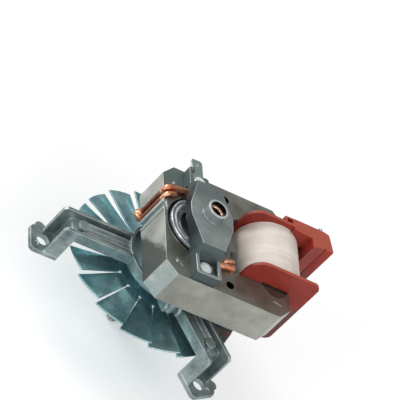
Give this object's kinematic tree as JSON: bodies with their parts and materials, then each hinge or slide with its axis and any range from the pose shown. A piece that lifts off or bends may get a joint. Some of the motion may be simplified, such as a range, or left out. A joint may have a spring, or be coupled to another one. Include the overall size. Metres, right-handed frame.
{
  "type": "oven fan motor",
  "caption": "Shaded-pole fan motor for a fan oven, with a side coil, three-legged cast bracket, twisted-blade cooling fan and a threaded shaft end.",
  "frame": {"origin": "on the shaft axis, in the plane that the three feet stand on", "axes": "+Z along the shaft from the feet towards the closed bearing, away from the oven wall; +X from the shaft to the coil; +Y to the side of the earth tab"},
  "size_m": [0.1365, 0.1188, 0.0929],
  "materials": {
    "die_cast_zinc": "satin",
    "die_cast_zinc_dark": "satin",
    "sintered_bronze": "matte",
    "felt": "matte",
    "laminations": "satin",
    "limb_laminations": "satin",
    "bright_strip": "polished",
    "copper_wire": "satin",
    "red_nylon": "satin",
    "enamelled_copper": "satin",
    "white_tape": "matte",
    "tinned_brass": "satin",
    "tinned_steel": "satin",
    "zinc_screw": "satin",
    "ground_steel": "satin",
    "cast_aluminium": "polished",
    "nylon_washer": "satin",
    "fan_sheet": "satin",
    "turned_steel": "satin"
  },
  "bodies": {
    "stator": {"mounting_bracket": "die_cast_zinc", "front_bush": "sintered_bronze", "front_oil_felt": "felt", "yoke_stack": "laminations", "core_limb": "limb_laminations", "pole_strips": "bright_strip", "upper_long_shading_ring": "copper_wire", "upper_short_shading_ring": "copper_wire", "lower_long_shading_ring": "copper_wire", "lower_short_shading_ring": "copper_wire", "bobbin": "red_nylon", "winding": "enamelled_copper", "coil_tape": "white_tape", "coil_terminals": "tinned_brass", "bearing_bridge": "die_cast_zinc_dark", "rear_bush": "sintered_bronze", "rear_oil_felt": "felt", "earth_tab": "tinned_steel", "assembly_screws": "zinc_screw"},
    "rotor": {"shaft": "ground_steel", "rotor_core": "limb_laminations", "rotor_cage": "cast_aluminium", "rear_thrust_washer": "nylon_washer", "front_thrust_washer": "nylon_washer", "cooling_fan": "fan_sheet", "fan_hub": "turned_steel", "fan_star_washer": "tinned_steel"}
  },
  "joints": [
    {"name": "rotor_spin", "type": "hinge", "parent": "stator", "child": "rotor", "pos_m": [0, 0, 0], "axis": [0, 0, 1], "continuous": true}
  ]
}
